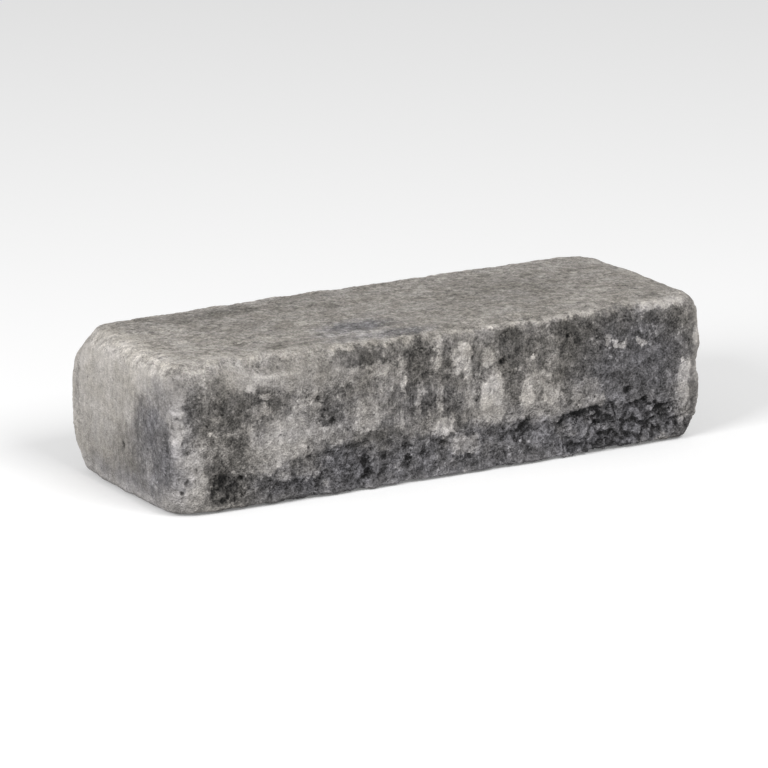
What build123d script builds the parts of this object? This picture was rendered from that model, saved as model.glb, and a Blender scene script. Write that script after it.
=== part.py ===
"""Tumbled concrete stacking block, cast as one piece and worn round in the drum.

X runs along the block, Y runs through it with the face seen in a wall at -Y, and Z is up.
The origin is at the middle of the bed that the block lies on. Sizes are in millimetres.
"""

import os

from build123d import *

# Nominal size of the block
length = 400.0
width = 150.0
height = 100.0

# Tumbling cuts each arris back to a round of changing radius. The faces stay flat, because each round
# is drawn a little outside them and meets them at a visible line.
proud = 0.5

# How far in from each end the long arrises change their radius, and how far each loft runs past the block
long_station = 120.0
overrun = 5.0

# Radii of the long arrises: front bottom, back bottom, back top and front top, from the left end to the right
left_end_radii = (10.0, 10.0, 17.0, 23.0)
left_station_radii = (5.0, 8.0, 10.0, 14.0)
right_station_radii = (4.5, 9.0, 11.0, 6.5)
right_end_radii = (9.0, 12.0, 15.0, 8.0)

# Radii of the upright arrises: front left, front right, back right and back left, from the bed up
bed_radii = (15.0, 9.0, 12.0, 15.0)
middle_radii = (9.0, 4.0, 8.0, 4.0)
top_radii = (14.0, 8.0, 14.0, 20.0)

# Radii of the arrises across the ends: left bottom, right bottom, right top and left top, from front to back
front_radii = (12.0, 13.0, 10.0, 16.0)
centre_radii = (8.0, 8.0, 9.0, 12.0)
back_radii = (11.0, 10.0, 13.0, 20.0)

# Corners knocked off as facets: which corner, the way the facet faces, and its depth below the sharp corner
corner_facets = (
    (("left", "front", "top"), (-0.9, -1.0, 1.3), 15.0),
    (("left", "back", "top"), (-1.2, 0.6, 1.0), 16.0),
    (("right", "front", "top"), (1.0, -0.6, 0.6), 7.5),
    (("right", "back", "top"), (0.8, 1.1, 0.7), 13.0),
    (("left", "front", "bottom"), (-0.8, -1.0, -0.9), 11.5),
    (("left", "back", "bottom"), (-1.0, 0.7, -0.6), 12.0),
    (("right", "front", "bottom"), (1.0, -0.7, -0.8), 10.5),
    (("right", "back", "bottom"), (0.7, 1.0, -1.1), 12.0),
)

# Flakes broken out of the long arrises: back or front, top or bottom, distance from the left or the right
# end, length, and depth below the sharp arris
left_flakes = (
    ("front", "top", 74.0, 92.0, 9.6),
    ("front", "bottom", 92.0, 50.0, 3.6),
    ("back", "top", 112.0, 76.0, 6.0),
)
right_flakes = (
    ("front", "top", 54.0, 46.0, 4.6),
    ("front", "bottom", 70.0, 56.0, 3.6),
    ("back", "top", 66.0, 58.0, 6.4),
    ("back", "bottom", 124.0, 64.0, 5.2),
)

# Flakes broken out of the upright arrises: left or right, front or back, height above the bed, length, depth
upright_flakes = (
    ("left", "front", 60.0, 40.0, 5.2),
    ("right", "front", 52.0, 30.0, 3.6),
    ("right", "back", 38.0, 44.0, 5.0),
)

# Gouges torn along the foot of the front face: distance from the left or the right end, height above the
# bed, length, breadth and depth
left_gouges = ((138.0, 15.0, 136.0, 36.0, 1.8),)
right_gouges = (
    (158.0, 15.0, 128.0, 36.0, 2.0),
    (68.0, 13.0, 122.0, 40.0, 4.4),
)

# Hollows torn out of the foot of the front face: distance from the left or the right end, height above the
# bed, width and depth
left_hollows = (
    (40.0, 16.0, 30.0, 4.4),
    (106.0, 19.0, 32.0, 3.2),
    (132.0, 17.0, 32.0, 3.8),
    (160.0, 19.0, 32.0, 3.2),
    (190.0, 17.0, 32.0, 3.2),
)
right_hollows = (
    (160.0, 18.0, 30.0, 3.2),
    (136.0, 20.0, 30.0, 3.6),
    (103.0, 22.0, 28.0, 5.4),
    (78.0, 21.0, 32.0, 5.4),
    (52.0, 22.0, 28.0, 5.6),
    (32.0, 18.0, 26.0, 4.6),
)

SIDES = {"left": -1, "right": 1, "front": -1, "back": 1}
LEVELS = {"bottom": 0, "top": 1}


def worn_outline(plane, across, along, radii):
    """A rectangle on the plane, just outside the block's faces, with each corner worn to its own radius."""
    half_across = across / 2 + proud
    half_along = along / 2 + proud
    corners = (
        (-half_across, -half_along),
        (half_across, -half_along),
        (half_across, half_along),
        (-half_across, half_along),
    )
    with BuildSketch(plane) as outline:
        with BuildLine():
            FilletPolyline(*corners, radius=radii, close=True)
        make_face()
    return outline.sketch


def arc_radius(run, depth):
    """The radius of an arc whose ends are this far apart and whose middle is this deep below them."""
    return (run**2 / 4 + depth**2) / (2 * depth)


def break_out(point, outward, run, depth):
    """Cut a hollow scar with the side of a ball that passes this deep below a point of the sharp block."""
    bend = arc_radius(run, depth)
    with Locations(Vector(*point) + Vector(*outward).normalized() * (bend - depth)):
        Sphere(bend, mode=Mode.SUBTRACT)


def gouge_out(point, outward, run, breadth, depth):
    """Cut a long scar with the rim of a level ring that passes this deep below a point of the sharp block."""
    bend = arc_radius(run, depth)
    curl = arc_radius(breadth, depth)
    with Locations(Vector(*point) + Vector(*outward).normalized() * (bend - depth)):
        Torus(bend - curl, curl, mode=Mode.SUBTRACT)


# The four long arrises
with BuildPart() as long_wear:
    stations = (
        (-length / 2 - overrun, left_end_radii),
        (-length / 2 + long_station, left_station_radii),
        (length / 2 - long_station, right_station_radii),
        (length / 2 + overrun, right_end_radii),
    )
    loft(
        sections=[
            worn_outline(Plane((x, 0, height / 2), (0, 1, 0), (1, 0, 0)), width, height, radii)
            for x, radii in stations
        ]
    )

# The four upright arrises
with BuildPart() as upright_wear:
    levels = ((-overrun, bed_radii), (height / 2, middle_radii), (height + overrun, top_radii))
    loft(sections=[worn_outline(Plane.XY.offset(z), length, width, radii) for z, radii in levels])

# The four arrises across the ends
with BuildPart() as end_wear:
    depths = (
        (-width / 2 - overrun, front_radii),
        (0, centre_radii),
        (width / 2 + overrun, back_radii),
    )
    loft(
        sections=[
            worn_outline(Plane((0, y, height / 2), (1, 0, 0), (0, -1, 0)), length, height, radii)
            for y, radii in depths
        ]
    )

with BuildPart() as stacking_block:
    Box(length, width, height, align=(Align.CENTER, Align.CENTER, Align.MIN))
    for wear in (long_wear, upright_wear, end_wear):
        add(wear.part, mode=Mode.INTERSECT)

    for (end, face, bed), facing, depth in corner_facets:
        sharp = Vector(SIDES[end] * length / 2, SIDES[face] * width / 2, LEVELS[bed] * height)
        outward = Vector(*facing).normalized()
        split(bisect_by=Plane(sharp - outward * depth, z_dir=outward), keep=Keep.BOTTOM)

    for flakes, end in ((left_flakes, "left"), (right_flakes, "right")):
        for face, bed, from_end, run, depth in flakes:
            x = SIDES[end] * (length / 2 - from_end)
            arris_point = (x, SIDES[face] * width / 2, LEVELS[bed] * height)
            break_out(arris_point, (0, SIDES[face], 2 * LEVELS[bed] - 1), run, depth)

    for end, face, above_bed, run, depth in upright_flakes:
        arris_point = (SIDES[end] * length / 2, SIDES[face] * width / 2, above_bed)
        break_out(arris_point, (SIDES[end], SIDES[face], 0), run, depth)

    for gouges, end in ((left_gouges, "left"), (right_gouges, "right")):
        for from_end, above_bed, run, breadth, depth in gouges:
            face_point = (SIDES[end] * (length / 2 - from_end), -width / 2, above_bed)
            gouge_out(face_point, (0, -1, 0), run, breadth, depth)

    for hollows, end in ((left_hollows, "left"), (right_hollows, "right")):
        for from_end, above_bed, run, depth in hollows:
            face_point = (SIDES[end] * (length / 2 - from_end), -width / 2, above_bed)
            break_out(face_point, (0, -1, 0), run, depth)

stacking_block.part.label = "stacking_block"

os.makedirs("parts", exist_ok=True)
export_step(stacking_block.part, "parts/stacking_block.step")
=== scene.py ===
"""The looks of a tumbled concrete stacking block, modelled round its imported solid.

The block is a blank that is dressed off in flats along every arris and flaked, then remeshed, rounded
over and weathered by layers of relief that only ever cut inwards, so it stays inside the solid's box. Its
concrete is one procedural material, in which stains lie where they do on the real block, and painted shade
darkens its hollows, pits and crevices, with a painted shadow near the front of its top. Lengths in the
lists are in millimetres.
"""

import math

import bpy
import numpy as np
from bpy.props import FloatProperty, FloatVectorProperty, IntProperty, PointerProperty
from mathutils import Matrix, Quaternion, Vector, noise


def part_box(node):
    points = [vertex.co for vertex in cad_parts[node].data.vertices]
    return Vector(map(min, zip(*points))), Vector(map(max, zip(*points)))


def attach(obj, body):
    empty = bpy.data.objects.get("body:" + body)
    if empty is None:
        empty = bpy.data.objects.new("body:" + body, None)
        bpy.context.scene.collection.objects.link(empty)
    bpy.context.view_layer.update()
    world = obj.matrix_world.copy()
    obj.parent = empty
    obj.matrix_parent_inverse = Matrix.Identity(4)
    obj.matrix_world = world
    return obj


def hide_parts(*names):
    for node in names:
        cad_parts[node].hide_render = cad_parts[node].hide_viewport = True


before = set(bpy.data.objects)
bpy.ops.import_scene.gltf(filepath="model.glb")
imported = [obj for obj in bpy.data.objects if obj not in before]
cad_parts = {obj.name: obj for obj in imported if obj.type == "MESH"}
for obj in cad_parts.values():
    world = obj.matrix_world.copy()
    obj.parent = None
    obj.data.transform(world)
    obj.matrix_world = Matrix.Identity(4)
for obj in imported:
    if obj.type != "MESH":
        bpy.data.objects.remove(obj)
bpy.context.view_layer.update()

bl_info = {
    "name": "Stacking block",
    "version": (1, 0, 0),
    "blender": (4, 5, 0),
    "location": "3D View > Sidebar > Block",
    "description": "Models a tumbled concrete stacking block and the stage that it is shown on",
    "category": "Object",
}

MM = 0.001
NODE = "stacking_block"
LOW, HIGH = (Vector(corner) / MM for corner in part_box(NODE))
HALF = (HIGH - LOW) / 2
MIDDLE = (HIGH + LOW) / 2

# The noise would be seeded by the clock without this, and change from run to run
NOISE_SEED = 1

# The axis that each face of the block stands across, the side of the block it is on, and the two axes that
# measure a place on it
FACES = {
    "left": (0, -1, (1, 2)),
    "right": (0, 1, (1, 2)),
    "front": (1, -1, (0, 2)),
    "back": (1, 1, (0, 2)),
    "bottom": (2, -1, (0, 1)),
    "top": (2, 1, (0, 1)),
}

# Each arris lies between two faces. It is worn to a round whose radius is given at stations along it, and
# which is drawn a little outside the faces. The angles are those at which its flats are dressed off.
PROUD = 0.5
LONG_STATIONS = (-205, -80, 80, 205)
UPRIGHT_STATIONS = (-5, 50, 105)
END_STATIONS = (-80, 0, 80)
ARRIS_WEAR = (
    ("front", "top", LONG_STATIONS, (23, 14, 6.5, 8)),
    ("back", "top", LONG_STATIONS, (17, 10, 11, 15)),
    ("back", "bottom", LONG_STATIONS, (10, 8, 9, 12)),
    ("front", "bottom", LONG_STATIONS, (10, 5, 4.5, 9)),
    ("left", "front", UPRIGHT_STATIONS, (15, 9, 14)),
    ("right", "front", UPRIGHT_STATIONS, (9, 4, 8)),
    ("right", "back", UPRIGHT_STATIONS, (12, 8, 14)),
    ("left", "back", UPRIGHT_STATIONS, (15, 4, 20)),
    ("left", "bottom", END_STATIONS, (12, 8, 11)),
    ("right", "bottom", END_STATIONS, (13, 8, 10)),
    ("right", "top", END_STATIONS, (10, 9, 13)),
    ("left", "top", END_STATIONS, (16, 12, 20)),
)
DRESSING_ANGLES = (12, 28.5, 45, 61.5, 78)

# Corners knocked off: the way each facet faces, and its depth below the sharp corner
CORNER_FACETS = (
    ((-0.9, -1.0, 1.3), 15),
    ((-1.2, 0.6, 1.0), 16),
    ((1.0, -0.6, 0.6), 7.5),
    ((0.8, 1.1, 0.7), 13),
    ((-0.8, -1.0, -0.9), 11.5),
    ((-1.0, 0.7, -0.6), 12),
    ((1.0, -0.7, -0.8), 10.5),
    ((0.7, 1.0, -1.1), 12),
)

# Flakes: the two faces at the arris, the place along it, the length and the depth
FLAKES = (
    ("front", "top", -126, 92, 9.6),
    ("front", "top", 146, 46, 4.6),
    ("front", "bottom", -108, 50, 3.6),
    ("front", "bottom", 130, 56, 3.6),
    ("back", "top", -88, 76, 6),
    ("back", "top", 134, 58, 6.4),
    ("back", "bottom", 76, 64, 5.2),
    ("left", "front", 60, 40, 5.2),
    ("right", "front", 52, 30, 3.6),
    ("right", "back", 38, 44, 5),
)

# Hollows torn out of the foot of the front face: a place on it, the width and the depth
HOLLOWS = (
    ((-160, 16), 30, 2.4),
    ((-92, 20), 34, 1.4),
    ((-64, 19), 36, 1.8),
    ((-36, 20), 34, 1.6),
    ((-8, 19), 32, 1.6),
    ((42, 19), 32, 1.4),
    ((68, 19), 34, 1.6),
    ((98, 17), 34, 3.2),
    ((122, 19), 36, 3.2),
    ((147, 17), 34, 3),
    ((168, 15), 26, 2.4),
)

WHOLE_FACE = (600, 600)
MIDDLE_OF_FACE = (0, 0)

# How rough the concrete is: a face, a place on it, the reach of the patch and its roughness. Each patch is
# painted over the ones above it, and the rest of the block has the plain roughness.
PLAIN_ROUGHNESS = 0.16
ROUGHNESS = (
    ("front", (0, 50), (260, 80), 0.5),
    ("back", (0, 50), (260, 80), 0.5),
    ("front", (60, 14), (150, 22), 0.7),
    ("front", (-90, 12), (60, 16), 0.8),
    ("front", (-161, 17), (15, 12), 1.0),
    ("front", (-125, 96), (90, 22), 0.1),
    ("front", (-118, 48), (27, 21), 0.2),
    ("front", (-184, 24), (13, 24), 0.3),
    ("left", (-72, 50), (12, 44), 0.8),
    ("front", (38, 50), (12, 16), 0.2),
    ("front", (66, 50), (10, 16), 0.25),
    ("front", (186, 40), (8, 22), 0.2),
)

# Where the concrete is torn open, given in the same way
TORN = (
    ("front", (136, 16), (60, 18), 0.9),
    ("front", (-20, 17), (110, 15), 0.3),
    ("front", (-58, 16), (9, 12), 0.5),
    ("front", (60, 25), (10, 8), 0.7),
    ("front", (-161, 17), (13, 10), 0.4),
    ("back", (60, 40), (90, 26), 0.4),
)

# The torn lip low on the front face, from left to right: a place on it and how deeply it is torn
LIP = (
    (80, 15, 0.0),
    (87, 22, 0.35),
    (93, 28, 0.7),
    (98, 31, 0.35),
    (103, 31.5, 0.8),
    (109, 32.5, 0.5),
    (115, 34, 0.15),
    (122, 32, 0.45),
    (131, 30.5, 0.15),
    (146, 31.5, 0.3),
    (155, 35, 0.9),
    (161, 31.5, 0.3),
    (167, 28.5, 0.65),
    (175, 25, 0.0),
)

# Single deep pits: a face, a place on it and a radius
PITS = (
    ("front", (-83, 51), 2.6),
    ("front", (-94, 67), 2.2),
    ("front", (45, 74), 2.5),
    ("front", (95, 84), 2.2),
    ("front", (141, 41), 3),
    ("front", (-58, 20), 2.8),
    ("front", (-57, 13), 2.6),
    ("front", (60, 27), 2.8),
    ("front", (-15, 19), 2.5),
    ("front", (-27, 19), 2.3),
    ("front", (0, 24), 2.3),
    ("front", (97, 10), 2.8),
    ("front", (127, 13), 3),
    ("front", (150, 19), 2.8),
    ("front", (-100, 29), 2.5),
    ("front", (-163, 21), 3.4),
    ("front", (-195, 17), 2.5),
    ("front", (-190, 24), 2.1),
    ("front", (-152, 22), 2.8),
    ("left", (-3, 34), 2.2),
    ("top", (-130, -28), 2.6),
    ("top", (60, 22), 3),
    ("right", (20, 60), 2.6),
    ("back", (-110, 62), 3.4),
    ("back", (40, 30), 3.2),
)

# How the faces look in plain light: a face, a place on it, the reach and depth of the patch, and its grey
# on a scale of 255
FACE_GREYS = (
    ("front", MIDDLE_OF_FACE, WHOLE_FACE, 60, 116),
    ("back", MIDDLE_OF_FACE, WHOLE_FACE, 60, 124),
    ("left", (62, 88), (34, 34), 28, 168),
    ("left", MIDDLE_OF_FACE, WHOLE_FACE, 5, 171),
    ("right", MIDDLE_OF_FACE, WHOLE_FACE, 5, 158),
    ("bottom", MIDDLE_OF_FACE, WHOLE_FACE, 4, 140),
    ("top", MIDDLE_OF_FACE, WHOLE_FACE, 3.4, 145),
)

# Stains and worn places of each face, and painted shade in deep pits and crevices and a painted shadow on
# the top: a place on it, the reach of the patch, its grey and how much it covers. Each is painted over the
# ones above it.
FRONT_STAINS_AND_SHADE = (
    # the pale shoulder at the front's upper left
    ((-125, 101), (95, 18), 140, 1.0),
    ((-112, 84), (36, 14), 146, 0.9),
    ((-122, 90), (20, 5), 152, 0.8),
    ((-178, 88), (18, 8), 118, 0.8),
    ((-62, 78), (12, 8), 138, 0.9),
    ((-46, 80), (9, 6), 156, 0.9),
    ((-33, 76), (6, 8), 144, 0.8),
    ((-60, 66), (12, 7), 122, 0.8),
    ((-58, 51), (13, 11), 160, 0.95),
    ((-46, 63), (6, 9), 128, 0.7),
    # the pale worn upright arris and the corner below it
    ((-201, 64), (9, 40), 146, 0.9),
    ((-187, 22), (12, 24), 156, 0.9),
    ((-200, 50), (3, 9), 116, 0.6),
    ((-188, 52), (4.4, 8), 114, 0.8),
    ((-177, 48), (11, 5), 142, 0.8),
    # painted shade in the deep pits at (-195, 17) and (-190, 24)
    ((-195, 17), (4, 5), 106, 0.85),
    ((-190, 25), (2.5, 3), 124, 0.6),
    # dark blotches left of the middle, with pale smears across them
    ((-181, 74), (11, 15), 96, 0.95),
    ((-174, 84), (12, 6), 98, 0.8),
    ((-160, 67), (12, 13), 86, 0.95),
    ((-140, 75), (14, 7.5), 88, 0.9),
    ((-126, 72), (5, 6), 102, 0.8),
    ((-115, 72), (6, 4), 114, 0.8),
    ((-155, 53), (7, 2.6), 146, 0.8),
    ((-133, 74), (5, 2.2), 156, 0.8),
    ((-135, 66), (6, 4), 152, 0.85),
    ((-144, 82), (5, 2.6), 168, 0.85),
    ((-176, 76), (2, 5), 138, 0.7),
    ((-169, 67), (5, 6), 136, 0.8),
    ((-169, 33), (8, 9), 82, 0.9),
    ((-171, 45), (4.4, 3.6), 134, 0.7),
    ((-153, 36), (6, 12), 104, 0.9),
    ((-153, 47), (5, 4), 84, 0.8),
    ((-161, 40), (2.6, 6), 136, 0.8),
    ((-157, 27), (2.2, 4), 150, 0.8),
    ((-144, 51), (3.2, 8), 140, 0.9),
    ((-145, 62), (3.6, 5), 100, 0.8),
    ((-137, 48), (4, 8), 118, 0.7),
    ((-134, 59), (5, 4), 106, 0.7),
    # the large pale blotch
    ((-139, 36), (8, 13), 144, 0.9),
    ((-130, 35), (10, 12), 156, 0.95),
    ((-112, 31), (14, 7), 158, 0.9),
    ((-117, 46), (17, 14), 164, 0.95),
    ((-105, 64), (8, 5), 160, 0.9),
    ((-92, 45), (10, 6), 150, 0.85),
    ((-97, 57), (3, 7), 124, 0.8),
    ((-93, 62), (2.6, 4), 144, 0.8),
    ((-83, 60), (9, 11), 84, 0.9),
    ((-71, 66), (8, 6), 98, 0.8),
    ((-76, 58), (3, 2.4), 138, 0.8),
    ((-73, 50), (6, 4), 112, 0.7),
    # the dark band along the foot
    ((-80, 18), (44, 17), 98, 0.95),
    ((-115, 6), (58, 6), 86, 0.85),
    ((-57, 24), (20, 17), 94, 0.9),
    ((-20, 17), (26, 15), 94, 0.95),
    ((40, 15), (50, 15), 102, 0.95),
    ((136, 16), (52, 17), 90, 0.95),
    ((106, 19), (19, 11), 114, 0.9),
    ((118, 6), (18, 5), 98, 0.8),
    ((160, 10), (12, 7), 98, 0.8),
    ((-161, 17), (12, 10), 76, 0.95),
    ((-171, 10), (6, 7), 108, 0.8),
    ((-174, 20), (3.5, 4), 96, 0.6),
    ((-149, 19), (7, 6), 74, 0.9),
    ((-146, 28), (4, 4), 104, 0.8),
    ((-136, 27), (4.4, 4), 150, 0.8),
    ((-131, 16), (9, 4), 70, 0.9),
    ((-110, 13), (15, 2.6), 70, 0.85),
    ((-106, 20), (17, 5.6), 128, 0.9),
    ((-82, 31), (9, 6), 82, 0.9),
    ((-92, 25), (9, 3), 118, 0.8),
    ((-100, 27), (5, 3), 124, 0.7),
    ((-78, 30.5), (12, 2), 70, 0.9),
    ((-72, 20.5), (14, 2), 72, 0.8),
    ((-88, 9), (3.6, 4), 128, 0.8),
    ((-48, 36), (20, 5), 80, 0.9),
    ((-42, 44), (7, 5), 98, 0.8),
    # painted shade in the deep pits at (-58, 20) and (-57, 13)
    ((-58, 17), (4, 8), 52, 0.9),
    ((-34, 14), (4, 3.6), 128, 0.9),
    ((-48, 27), (10, 2.4), 116, 0.7),
    # painted shade in the deep pits at (-15, 19) and (-27, 19)
    ((-15, 19), (4.5, 2.6), 50, 0.9),
    ((-26, 19), (2.6, 2.4), 54, 0.8),
    ((6, 25), (7, 4), 118, 0.8),
    ((17, 21), (11, 7), 160, 0.95),
    ((8, 8), (4, 4), 124, 0.8),
    ((34, 16), (5, 4), 124, 0.9),
    ((44, 15), (3.6, 4.5), 116, 0.8),
    ((57, 20), (9, 7), 80, 0.9),
    # painted shade in the deep pit at (60, 27)
    ((61, 27), (4.4, 4), 56, 0.85),
    ((18, 12), (6, 1.8), 58, 0.8),
    ((36, 27), (3.4, 2.6), 58, 0.8),
    ((10, 3), (90, 3), 86, 0.6),
    ((97, 20), (9, 6), 136, 0.85),
    ((107, 22), (5, 4), 110, 0.7),
    ((143, 24), (4, 5), 106, 0.7),
    ((127, 25), (3.6, 3), 108, 0.7),
    ((165, 19), (5, 4), 106, 0.7),
    ((169, 34), (9, 8), 84, 0.9),
    # painted shade in the crevices under the torn lip, and in the deep pits at (127, 13) and (97, 10)
    ((105, 31), (9, 1.9), 44, 0.95),
    ((91, 27), (2.4, 4), 52, 0.9),
    ((120, 25), (4, 3), 50, 0.9),
    ((132, 31), (8, 1.4), 54, 0.9),
    ((154, 33), (4.5, 2), 48, 0.9),
    ((167, 26), (4, 2.2), 50, 0.9),
    ((126, 13), (6, 2.4), 50, 0.9),
    ((97, 9), (3.6, 3), 48, 0.9),
    # the streaked middle
    ((-92, 93), (16, 9), 120, 0.8),
    ((-62, 92), (17, 9), 70, 0.95),
    ((-38, 91), (13, 6.5), 86, 0.95),
    ((-18, 90), (10, 8), 82, 0.95),
    ((-8, 66), (24, 26), 100, 0.8),
    ((-35, 61), (6, 8), 104, 0.85),
    ((-28.5, 68), (3.4, 9), 172, 0.95),
    ((-34, 46), (4, 6), 130, 0.9),
    ((-24, 66), (3, 24), 88, 0.9),
    ((-13.5, 62), (4, 22), 80, 0.9),
    ((-4.6, 80), (3.6, 5.4), 160, 0.9),
    ((-4, 93), (3, 3.4), 138, 0.8),
    ((3, 86), (3.6, 14), 80, 0.9),
    ((12, 96), (30, 4), 112, 0.7),
    ((5, 58), (4, 12), 94, 0.9),
    ((12, 56), (4, 12), 116, 0.8),
    ((-2.6, 54), (3.4, 14), 160, 0.95),
    ((-18.4, 55), (2.2, 16), 142, 0.9),
    ((14, 81), (8.2, 10), 174, 0.95),
    ((19.5, 60), (3.8, 15), 144, 0.9),
    ((25, 78), (3.2, 18), 94, 0.9),
    ((34, 78), (5.4, 6.4), 158, 0.9),
    ((32, 93), (8, 6), 104, 0.85),
    ((37, 66), (8, 4), 146, 0.8),
    ((20, 42), (8, 8), 132, 0.8),
    ((-12, 43), (9, 5), 130, 0.8),
    ((0, 34), (10, 7), 176, 0.95),
    ((-20, 36), (8, 4), 118, 0.8),
    ((9.5, 34), (3, 4), 92, 0.8),
    ((52, 86), (9.6, 12), 80, 0.95),
    ((53, 68), (7, 9), 90, 0.9),
    ((66, 87), (5, 12), 88, 0.85),
    ((36.5, 53), (10.4, 11), 186, 0.95),
    ((38, 40), (9, 7), 158, 0.9),
    ((25, 51), (2.8, 9), 112, 0.7),
    ((52, 42), (4, 4.5), 104, 0.9),
    ((54, 34), (7, 4), 132, 0.85),
    ((64, 49), (5.4, 13), 182, 0.95),
    ((73, 56), (7, 8), 160, 0.9),
    ((73, 43), (3, 7), 122, 0.8),
    ((82, 48), (7.4, 12), 168, 0.95),
    ((83, 67), (6.4, 6.4), 148, 0.9),
    ((90, 76), (4, 5), 106, 0.8),
    ((87, 58), (4.4, 4), 108, 0.8),
    ((91, 44), (4, 3.6), 148, 0.8),
    ((88, 88), (5, 4), 88, 0.8),
    ((74, 78), (5, 14), 104, 0.85),
    ((72, 37), (16, 6), 138, 0.85),
    ((68, 75), (2.4, 2), 200, 0.9),
    # the purple grey right of the middle
    ((142, 68), (54, 34), 92, 0.95),
    ((116, 91), (36, 6), 86, 0.9),
    ((101, 88), (11, 10), 74, 0.9),
    ((110, 44), (13, 9), 138, 0.9),
    ((95, 44), (4, 8), 92, 0.85),
    ((119, 37), (4.4, 3.4), 150, 0.9),
    ((135, 74), (5.4, 2.2), 184, 0.95),
    ((152, 73), (4.6, 2.2), 176, 0.95),
    ((126, 76), (2.8, 4.6), 148, 0.85),
    ((116, 75), (3, 4), 116, 0.8),
    ((158, 84), (20, 9), 82, 0.7),
    ((187.5, 50), (5, 6.5), 178, 0.95),
    ((185, 36), (4.2, 12), 160, 0.95),
    ((183, 20), (5, 8), 128, 0.85),
    ((193, 34), (4.4, 9), 102, 0.9),
    ((187, 82), (5, 10), 114, 0.85),
    ((195, 73), (3.4, 5), 172, 0.9),
    ((184, 7), (11, 8), 84, 0.9),
    # the pale rim along the front's top arris
    ((50, 101), (130, 2.8), 144, 0.85),
    ((174, 99), (20, 5), 150, 0.9),
    ((157, 95), (6, 2.4), 150, 0.8),
)
LEFT_STAINS_AND_SHADE = (
    ((34, 25), (40, 13), 156, 0.7),
    ((-64, 84), (20, 13), 124, 0.85),
    ((-18, 30), (32, 20), 124, 0.8),
    ((12, 15), (28, 9), 134, 0.7),
    ((34, 64), (26, 16), 182, 0.7),
    ((-36, 60), (17, 12), 124, 0.9),
    ((-44, 42), (25, 27), 106, 0.95),
    ((-56, 42), (12, 25), 96, 0.8),
    ((-76, 60), (4, 11), 178, 0.8),
    ((-34, 18), (36, 11), 112, 0.85),
    ((-66, 27), (10, 9), 104, 0.8),
    ((-38, 31), (7, 10), 140, 0.8),
    ((-29, 50), (3, 16), 126, 0.6),
    ((-52, 52), (3, 18), 116, 0.5),
    ((44, 15), (12, 6), 132, 0.7),
    ((24, 14), (9, 6), 128, 0.7),
    # painted shade in the deep pit at (-3, 34)
    ((-3, 35), (3, 3.6), 92, 0.9),
    ((-5, 40), (5, 3), 128, 0.7),
    ((0, 5), (70, 5), 142, 0.8),
    ((-68, 12), (8, 7), 156, 0.8),
    ((-50, 15), (11, 7), 112, 0.8),
    ((-50, 20), (3, 2.4), 140, 0.6),
    ((62, 62), (1.8, 18), 122, 0.8),
    ((72, 60), (8, 30), 184, 0.8),
)
TOP_STAINS_AND_SHADE = (
    ((-160, -8), (34, 56), 156, 0.8),
    ((-192, -6), (13, 60), 170, 0.9),
    ((-176, 18), (9, 22), 168, 0.7),
    ((-130, 12), (10, 6), 116, 0.8),
    ((-134, 36), (15, 5), 120, 0.8),
    ((-120, 28), (5, 8), 126, 0.7),
    ((-118, -28), (20, 12), 154, 0.6),
    ((-168, -40), (14, 9), 158, 0.7),
    ((-92, 4), (24, 12), 140, 0.6),
    ((-128, -33), (4, 6), 112, 0.8),
    ((-129, -29), (4, 2.4), 184, 0.8),
    ((-160, -10), (7, 4), 182, 0.8),
    ((-68, -7), (7, 5), 176, 0.8),
    ((-66, 32), (7, 8), 116, 0.7),
    ((-152, 56), (7, 8), 118, 0.7),
    ((-30, 25), (6, 6), 106, 0.8),
    ((-100, -60), (90, 20), 142, 0.8),
    ((-110, 48), (56, 14), 122, 0.8),
    ((-90, 48), (26, 10), 110, 0.8),
    ((-38, 34), (18, 12), 126, 0.7),
    ((-98, -32), (15, 9), 162, 0.7),
    ((-158, -50), (15, 8), 168, 0.7),
    ((-40, 54), (40, 12), 134, 0.7),
    ((-66, 52), (9, 5), 152, 0.8),
    ((-146, 30), (16, 5), 158, 0.7),
    ((-38, -30), (28, 11), 114, 0.9),
    ((-78, -26), (5, 14), 162, 0.6),
    # painted shadow of a block lying on the top, darker towards the front
    ((-22, -57), (16, 9), 110, 0.85),
    ((-20, -62), (11, 4), 90, 0.8),
    ((-96, 12), (14, 8), 130, 0.7),
    ((-60, -44), (10, 4), 178, 0.85),
    ((-40, -50), (12, 4), 176, 0.8),
    ((-76, -58), (18, 8), 130, 0.8),
    ((-112, -53), (8, 5), 110, 0.8),
    ((-90, -54), (7, 5), 112, 0.8),
    ((90, 10), (50, 34), 128, 0.7),
    ((140, -38), (34, 14), 158, 0.7),
)
RIGHT_STAINS = (
    ((-52, 34), (18, 26), 116, 0.8),
    ((-34, 24), (26, 12), 124, 0.8),
    ((-44, 60), (12, 14), 134, 0.7),
    ((6, 12), (34, 7), 132, 0.7),
    ((40, 80), (22, 10), 172, 0.7),
    ((26, 46), (5, 22), 146, 0.6),
    ((60, 30), (9, 20), 128, 0.7),
)
BACK_STAINS = (
    ((-196, 66), (26, 60), 166, 0.9),
    ((-128, 40), (26, 24), 94, 0.85),
    ((-96, 24), (44, 16), 92, 0.85),
    ((-150, 70), (12, 12), 110, 0.8),
    ((-40, 52), (7, 26), 100, 0.8),
    ((-24, 60), (5, 22), 150, 0.8),
    ((-12, 50), (4, 24), 98, 0.8),
    ((22, 66), (14, 16), 156, 0.8),
    ((60, 70), (20, 12), 148, 0.8),
    ((74, 42), (12, 18), 160, 0.8),
    ((52, 36), (7, 14), 104, 0.8),
    ((126, 26), (34, 16), 96, 0.85),
    ((158, 44), (20, 22), 102, 0.8),
    ((136, 70), (8, 8), 148, 0.8),
    ((-20, 88), (90, 8), 144, 0.7),
    ((0, 8), (170, 8), 100, 0.8),
)
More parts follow.
